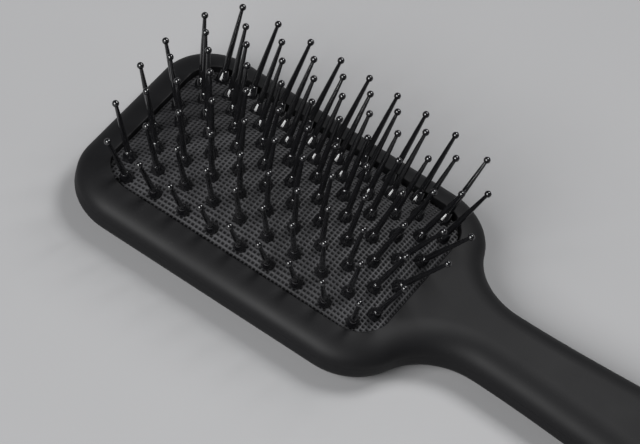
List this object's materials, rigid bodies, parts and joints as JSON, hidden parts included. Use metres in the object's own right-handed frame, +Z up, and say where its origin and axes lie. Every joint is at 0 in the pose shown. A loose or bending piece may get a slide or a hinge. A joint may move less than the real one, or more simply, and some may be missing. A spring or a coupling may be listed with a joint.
{
  "type": "cushion hairbrush",
  "caption": "Paddle-shaped vanity hairbrush: satin black plastic body with handle, domed air cushion pad and ball-tipped pins that press in with the pad.",
  "frame": {"origin": "middle of the length and width, on the surface that the brush lies on", "axes": "+X along the brush from the head's free end to the end of the handle, +Y across it, +Z up out of the pad, the way the pins point"},
  "size_m": [0.25, 0.0776, 0.0457],
  "materials": {
    "body_plastic": "satin soft-touch black",
    "frame_plastic": "plain moulded black",
    "pad_rubber": "matte black with a raised woven texture",
    "pin_nylon": "glossy black"
  },
  "bodies": {
    "brush_body": {"front_shell": "body_plastic", "back_cover": "body_plastic", "pad_retaining_frame": "frame_plastic", "cushion_pad": "pad_rubber"},
    "pins_row_1_free_end": {"pins_row_1_free_end": "pin_nylon"},
    "pins_row_1_middle": {"pins_row_1_middle": "pin_nylon"},
    "pins_row_1_handle_end": {"pins_row_1_handle_end": "pin_nylon"},
    "pins_row_2_free_end": {"pins_row_2_free_end": "pin_nylon"},
    "pins_row_2_middle": {"pins_row_2_middle": "pin_nylon"},
    "pins_row_2_handle_end": {"pins_row_2_handle_end": "pin_nylon"},
    "pins_row_3_free_end": {"pins_row_3_free_end": "pin_nylon"},
    "pins_row_3_middle": {"pins_row_3_middle": "pin_nylon"},
    "pins_row_3_handle_end": {"pins_row_3_handle_end": "pin_nylon"},
    "pins_row_4_free_end": {"pins_row_4_free_end": "pin_nylon"},
    "pins_row_4_middle": {"pins_row_4_middle": "pin_nylon"},
    "pins_row_4_handle_end": {"pins_row_4_handle_end": "pin_nylon"},
    "pins_row_5_free_end": {"pins_row_5_free_end": "pin_nylon"},
    "pins_row_5_middle": {"pins_row_5_middle": "pin_nylon"},
    "pins_row_5_handle_end": {"pins_row_5_handle_end": "pin_nylon"},
    "pins_row_6_free_end": {"pins_row_6_free_end": "pin_nylon"},
    "pins_row_6_middle": {"pins_row_6_middle": "pin_nylon"},
    "pins_row_6_handle_end": {"pins_row_6_handle_end": "pin_nylon"},
    "pins_row_7_free_end": {"pins_row_7_free_end": "pin_nylon"},
    "pins_row_7_middle": {"pins_row_7_middle": "pin_nylon"},
    "pins_row_7_handle_end": {"pins_row_7_handle_end": "pin_nylon"},
    "pins_row_8_free_end": {"pins_row_8_free_end": "pin_nylon"},
    "pins_row_8_middle": {"pins_row_8_middle": "pin_nylon"},
    "pins_row_8_handle_end": {"pins_row_8_handle_end": "pin_nylon"},
    "pins_row_9_free_end": {"pins_row_9_free_end": "pin_nylon"},
    "pins_row_9_middle": {"pins_row_9_middle": "pin_nylon"},
    "pins_row_9_handle_end": {"pins_row_9_handle_end": "pin_nylon"}
  },
  "joints": [
    {"name": "press_row_5_middle", "type": "slide", "parent": "brush_body", "child": "pins_row_5_middle", "axis": [0, 0, -1], "range_m": [0, 0.003], "stiffness_N_per_m": 160, "deforming": ["cushion_pad"]},
    {"name": "press_row_1_free_end", "type": "slide", "parent": "brush_body", "child": "pins_row_1_free_end", "axis": [0, 0, -1], "range_m": [0, 0.00066], "stiffness_N_per_m": 160},
    {"name": "press_row_1_middle", "type": "slide", "parent": "brush_body", "child": "pins_row_1_middle", "axis": [0, 0, -1], "range_m": [0, 0.00087], "stiffness_N_per_m": 160},
    {"name": "press_row_1_handle_end", "type": "slide", "parent": "brush_body", "child": "pins_row_1_handle_end", "axis": [0, 0, -1], "range_m": [0, 0.00066], "stiffness_N_per_m": 160},
    {"name": "press_row_2_free_end", "type": "slide", "parent": "brush_body", "child": "pins_row_2_free_end", "axis": [0, 0, -1], "range_m": [0, 0.00117], "stiffness_N_per_m": 160},
    {"name": "press_row_2_middle", "type": "slide", "parent": "brush_body", "child": "pins_row_2_middle", "axis": [0, 0, -1], "range_m": [0, 0.00183], "stiffness_N_per_m": 160},
    {"name": "press_row_2_handle_end", "type": "slide", "parent": "brush_body", "child": "pins_row_2_handle_end", "axis": [0, 0, -1], "range_m": [0, 0.00117], "stiffness_N_per_m": 160},
    {"name": "press_row_3_free_end", "type": "slide", "parent": "brush_body", "child": "pins_row_3_free_end", "axis": [0, 0, -1], "range_m": [0, 0.00195], "stiffness_N_per_m": 160},
    {"name": "press_row_3_middle", "type": "slide", "parent": "brush_body", "child": "pins_row_3_middle", "axis": [0, 0, -1], "range_m": [0, 0.00252], "stiffness_N_per_m": 160},
    {"name": "press_row_3_handle_end", "type": "slide", "parent": "brush_body", "child": "pins_row_3_handle_end", "axis": [0, 0, -1], "range_m": [0, 0.00195], "stiffness_N_per_m": 160},
    {"name": "press_row_4_free_end", "type": "slide", "parent": "brush_body", "child": "pins_row_4_free_end", "axis": [0, 0, -1], "range_m": [0, 0.00186], "stiffness_N_per_m": 160},
    {"name": "press_row_4_middle", "type": "slide", "parent": "brush_body", "child": "pins_row_4_middle", "axis": [0, 0, -1], "range_m": [0, 0.00288], "stiffness_N_per_m": 160},
    {"name": "press_row_4_handle_end", "type": "slide", "parent": "brush_body", "child": "pins_row_4_handle_end", "axis": [0, 0, -1], "range_m": [0, 0.00186], "stiffness_N_per_m": 160},
    {"name": "press_row_5_free_end", "type": "slide", "parent": "brush_body", "child": "pins_row_5_free_end", "axis": [0, 0, -1], "range_m": [0, 0.00234], "stiffness_N_per_m": 160},
    {"name": "press_row_5_handle_end", "type": "slide", "parent": "brush_body", "child": "pins_row_5_handle_end", "axis": [0, 0, -1], "range_m": [0, 0.00234], "stiffness_N_per_m": 160},
    {"name": "press_row_6_free_end", "type": "slide", "parent": "brush_body", "child": "pins_row_6_free_end", "axis": [0, 0, -1], "range_m": [0, 0.00186], "stiffness_N_per_m": 160},
    {"name": "press_row_6_middle", "type": "slide", "parent": "brush_body", "child": "pins_row_6_middle", "axis": [0, 0, -1], "range_m": [0, 0.00288], "stiffness_N_per_m": 160},
    {"name": "press_row_6_handle_end", "type": "slide", "parent": "brush_body", "child": "pins_row_6_handle_end", "axis": [0, 0, -1], "range_m": [0, 0.00186], "stiffness_N_per_m": 160},
    {"name": "press_row_7_free_end", "type": "slide", "parent": "brush_body", "child": "pins_row_7_free_end", "axis": [0, 0, -1], "range_m": [0, 0.00195], "stiffness_N_per_m": 160},
    {"name": "press_row_7_middle", "type": "slide", "parent": "brush_body", "child": "pins_row_7_middle", "axis": [0, 0, -1], "range_m": [0, 0.00252], "stiffness_N_per_m": 160},
    {"name": "press_row_7_handle_end", "type": "slide", "parent": "brush_body", "child": "pins_row_7_handle_end", "axis": [0, 0, -1], "range_m": [0, 0.00195], "stiffness_N_per_m": 160},
    {"name": "press_row_8_free_end", "type": "slide", "parent": "brush_body", "child": "pins_row_8_free_end", "axis": [0, 0, -1], "range_m": [0, 0.00117], "stiffness_N_per_m": 160},
    {"name": "press_row_8_middle", "type": "slide", "parent": "brush_body", "child": "pins_row_8_middle", "axis": [0, 0, -1], "range_m": [0, 0.00183], "stiffness_N_per_m": 160},
    {"name": "press_row_8_handle_end", "type": "slide", "parent": "brush_body", "child": "pins_row_8_handle_end", "axis": [0, 0, -1], "range_m": [0, 0.00117], "stiffness_N_per_m": 160},
    {"name": "press_row_9_free_end", "type": "slide", "parent": "brush_body", "child": "pins_row_9_free_end", "axis": [0, 0, -1], "range_m": [0, 0.00066], "stiffness_N_per_m": 160},
    {"name": "press_row_9_middle", "type": "slide", "parent": "brush_body", "child": "pins_row_9_middle", "axis": [0, 0, -1], "range_m": [0, 0.00087], "stiffness_N_per_m": 160},
    {"name": "press_row_9_handle_end", "type": "slide", "parent": "brush_body", "child": "pins_row_9_handle_end", "axis": [0, 0, -1], "range_m": [0, 0.00066], "stiffness_N_per_m": 160}
  ],
  "couplings": [
    {"joint": "press_row_1_free_end", "follows": "press_row_5_middle", "ratio": 0.22},
    {"joint": "press_row_1_middle", "follows": "press_row_5_middle", "ratio": 0.29},
    {"joint": "press_row_1_handle_end", "follows": "press_row_5_middle", "ratio": 0.22},
    {"joint": "press_row_2_free_end", "follows": "press_row_5_middle", "ratio": 0.39},
    {"joint": "press_row_2_middle", "follows": "press_row_5_middle", "ratio": 0.61},
    {"joint": "press_row_2_handle_end", "follows": "press_row_5_middle", "ratio": 0.39},
    {"joint": "press_row_3_free_end", "follows": "press_row_5_middle", "ratio": 0.65},
    {"joint": "press_row_3_middle", "follows": "press_row_5_middle", "ratio": 0.84},
    {"joint": "press_row_3_handle_end", "follows": "press_row_5_middle", "ratio": 0.65},
    {"joint": "press_row_4_free_end", "follows": "press_row_5_middle", "ratio": 0.62},
    {"joint": "press_row_4_middle", "follows": "press_row_5_middle", "ratio": 0.96},
    {"joint": "press_row_4_handle_end", "follows": "press_row_5_middle", "ratio": 0.62},
    {"joint": "press_row_5_free_end", "follows": "press_row_5_middle", "ratio": 0.78},
    {"joint": "press_row_5_handle_end", "follows": "press_row_5_middle", "ratio": 0.78},
    {"joint": "press_row_6_free_end", "follows": "press_row_5_middle", "ratio": 0.62},
    {"joint": "press_row_6_middle", "follows": "press_row_5_middle", "ratio": 0.96},
    {"joint": "press_row_6_handle_end", "follows": "press_row_5_middle", "ratio": 0.62},
    {"joint": "press_row_7_free_end", "follows": "press_row_5_middle", "ratio": 0.65},
    {"joint": "press_row_7_middle", "follows": "press_row_5_middle", "ratio": 0.84},
    {"joint": "press_row_7_handle_end", "follows": "press_row_5_middle", "ratio": 0.65},
    {"joint": "press_row_8_free_end", "follows": "press_row_5_middle", "ratio": 0.39},
    {"joint": "press_row_8_middle", "follows": "press_row_5_middle", "ratio": 0.61},
    {"joint": "press_row_8_handle_end", "follows": "press_row_5_middle", "ratio": 0.39},
    {"joint": "press_row_9_free_end", "follows": "press_row_5_middle", "ratio": 0.22},
    {"joint": "press_row_9_middle", "follows": "press_row_5_middle", "ratio": 0.29},
    {"joint": "press_row_9_handle_end", "follows": "press_row_5_middle", "ratio": 0.22}
  ]
}
